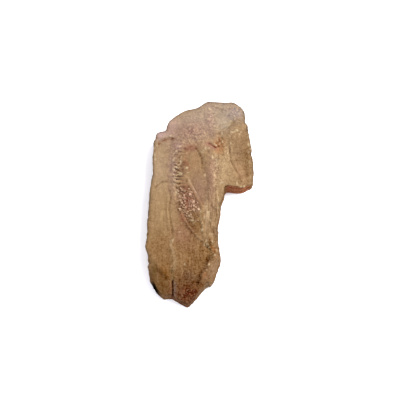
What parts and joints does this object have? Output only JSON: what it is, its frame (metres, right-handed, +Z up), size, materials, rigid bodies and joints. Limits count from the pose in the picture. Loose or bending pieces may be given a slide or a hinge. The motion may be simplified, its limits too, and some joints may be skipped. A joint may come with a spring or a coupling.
{
  "type": "ammonite fossil in matrix",
  "caption": "Ribbed ammonite, squeezed oval, in an L-shaped slab of iron-stained rock, with a crystal-lined hollow at its lower end; lies flat.",
  "frame": {"origin": "under the middle of the slab's box, on the surface that it lies on", "axes": "+Y along the slab towards the ammonite's ribbed end, +X towards the block that stands out, +Z up out of the ammonite's face"},
  "size_m": [0.079, 0.1498, 0.0233],
  "materials": {
    "iron_stained_rock": "rough broken rock, tan to pinkish brown",
    "fossil_shell": "dull pinkish brown calcite shell, ribbed",
    "calcite": "small milky crystals with bright faces"
  },
  "bodies": {
    "root": {"matrix": "iron_stained_rock", "ammonite": "fossil_shell", "calcite_crystals": "calcite"}
  },
  "joints": []
}
